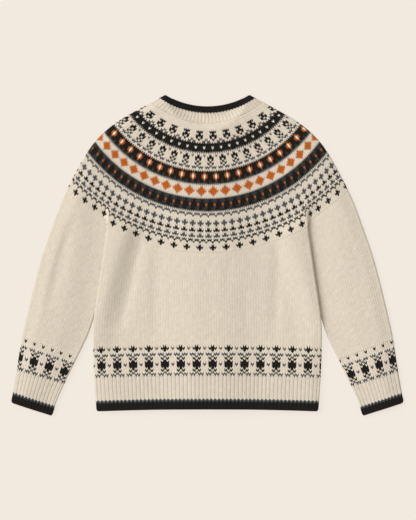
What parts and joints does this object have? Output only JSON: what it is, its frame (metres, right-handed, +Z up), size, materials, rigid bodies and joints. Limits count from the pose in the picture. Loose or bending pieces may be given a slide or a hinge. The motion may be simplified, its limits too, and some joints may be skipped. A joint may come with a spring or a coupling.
{
  "type": "fair isle cardigan",
  "caption": "Wool cardigan lying flat, back up: round fair isle yoke, plain body and sleeves with patterned bands, dark-edged rib at neck, hem and cuffs, closed button front underneath.",
  "frame": {"origin": "centre of the bounding box's bottom face, on the surface that the garment lies on", "axes": "+Z up out of the garment's back, +Y towards the neck, +X towards the wearer's right sleeve, the viewer's right"},
  "size_m": [0.8262, 0.6743, 0.0178],
  "materials": {
    "cream_wool": "matte, brushed heavy wool knit",
    "patterned_wool": "matte, stranded colour knit",
    "ribbed_wool": "matte, ribbed knit with a dark edge",
    "button_horn": "satin dark horn"
  },
  "bodies": {
    "root": {"back": "cream_wool", "front_left": "cream_wool", "front_right": "cream_wool", "sleeve_left": "cream_wool", "sleeve_right": "cream_wool", "yoke_back": "patterned_wool", "yoke_front_left": "patterned_wool", "yoke_front_right": "patterned_wool", "neckband_back": "ribbed_wool", "neckband_front_left": "ribbed_wool", "neckband_front_right": "ribbed_wool", "hem_back": "ribbed_wool", "hem_front_left": "ribbed_wool", "hem_front_right": "ribbed_wool", "cuff_left": "ribbed_wool", "cuff_right": "ribbed_wool", "button_band_left": "ribbed_wool", "button_band_right": "ribbed_wool", "button_1": "button_horn", "button_2": "button_horn", "button_3": "button_horn", "button_4": "button_horn", "button_5": "button_horn", "button_6": "button_horn", "button_7": "button_horn"}
  },
  "joints": []
}
